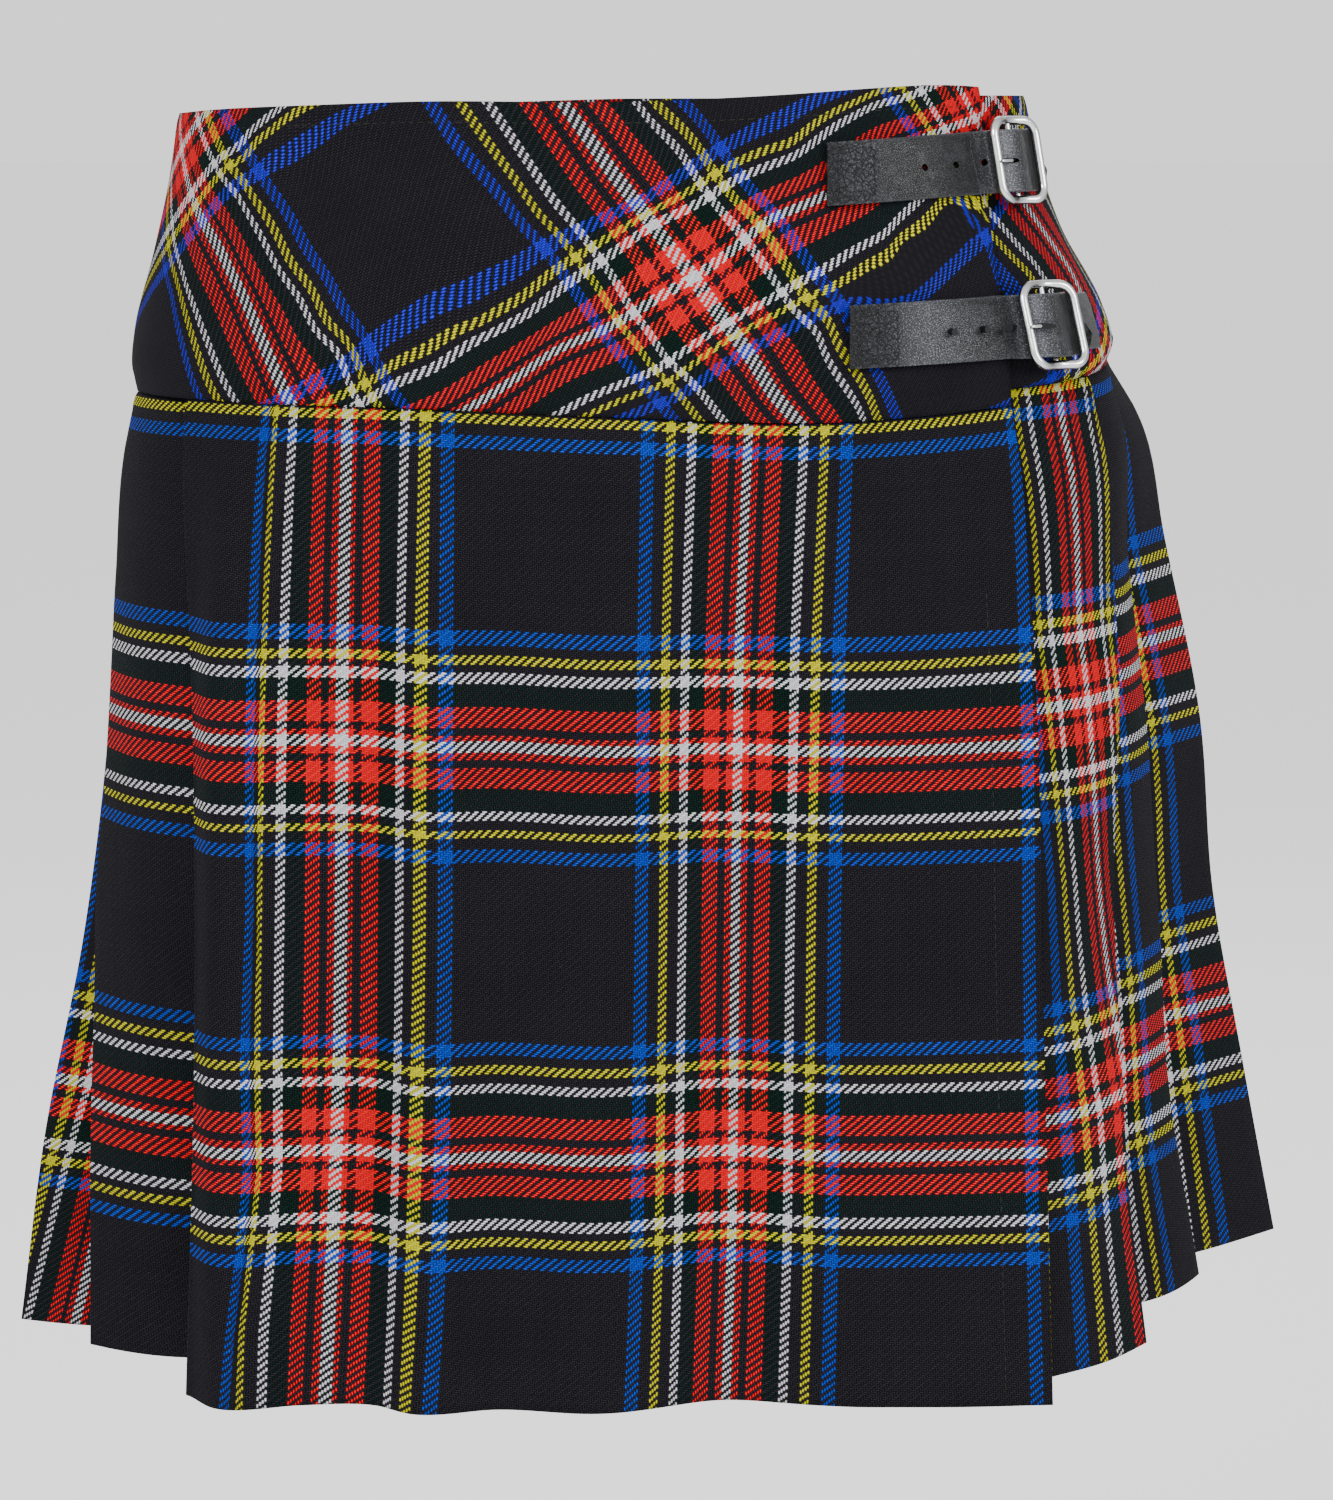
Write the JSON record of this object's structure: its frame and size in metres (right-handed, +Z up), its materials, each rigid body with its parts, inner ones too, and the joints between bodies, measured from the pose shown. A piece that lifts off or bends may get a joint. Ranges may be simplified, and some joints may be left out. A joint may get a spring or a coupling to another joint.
{
  "type": "kilt skirt",
  "caption": "Worn mini kilt: a hip yoke, a flat wrap apron, knife pleats round the sides and back, and two leather straps with buckles at the hip.",
  "frame": {"origin": "middle of the worn waist, level with the waist edge at the middle of the back", "axes": "+X to the viewer's right (the wearer's left), +Y to the back, +Z up"},
  "size_m": [0.4453, 0.3342, 0.4165],
  "materials": {
    "tartan": "twill woven cloth in a black, blue, red, yellow, white and green check",
    "strap_leather": "black grained leather, half gloss",
    "buckle_metal": "bright nickel plate"
  },
  "bodies": {
    "root": {"front_yoke": "tartan", "back_yoke": "tartan", "front_apron": "tartan", "under_apron": "tartan", "pleats_left": "tartan", "pleats_right": "tartan", "strap_upper": "strap_leather", "strap_lower": "strap_leather", "tab_upper": "strap_leather", "tab_lower": "strap_leather", "buckle_upper": "buckle_metal", "buckle_lower": "buckle_metal", "prong_upper": "buckle_metal", "prong_lower": "buckle_metal"}
  },
  "joints": []
}
